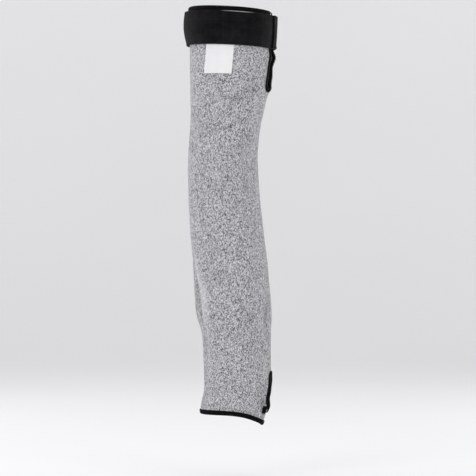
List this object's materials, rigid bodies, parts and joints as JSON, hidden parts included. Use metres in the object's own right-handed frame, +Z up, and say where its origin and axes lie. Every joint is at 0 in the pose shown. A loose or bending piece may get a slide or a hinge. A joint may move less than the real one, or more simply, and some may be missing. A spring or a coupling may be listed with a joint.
{
  "type": "work sleeve",
  "caption": "Knitted protective work sleeve in the form of a worn arm, with an elastic strap, a slit below the rim, a thumb slot, overlocked edges and a blank label.",
  "frame": {"origin": "centre of the upper opening, at the rim of the knit, where the upper arm holds the sleeve", "axes": "+Z up along the arm out of the upper opening, +X towards the thumb side, -Y towards the outer side of the arm"},
  "size_m": [0.1029, 0.0994, 0.4557],
  "materials": {
    "knit": "salt-and-pepper grey plain knit",
    "overlock_thread": "black overlock thread",
    "strap_elastic": "black woven elastic",
    "label_satin": "white woven satin, blank"
  },
  "bodies": {
    "root": {"sleeve_body": "knit", "rim_overlock": "overlock_thread", "slit_overlock": "overlock_thread", "thumb_overlock": "overlock_thread", "thumb_tail": "overlock_thread", "hem_overlock": "overlock_thread", "arm_strap": "strap_elastic", "label": "label_satin"}
  },
  "joints": []
}
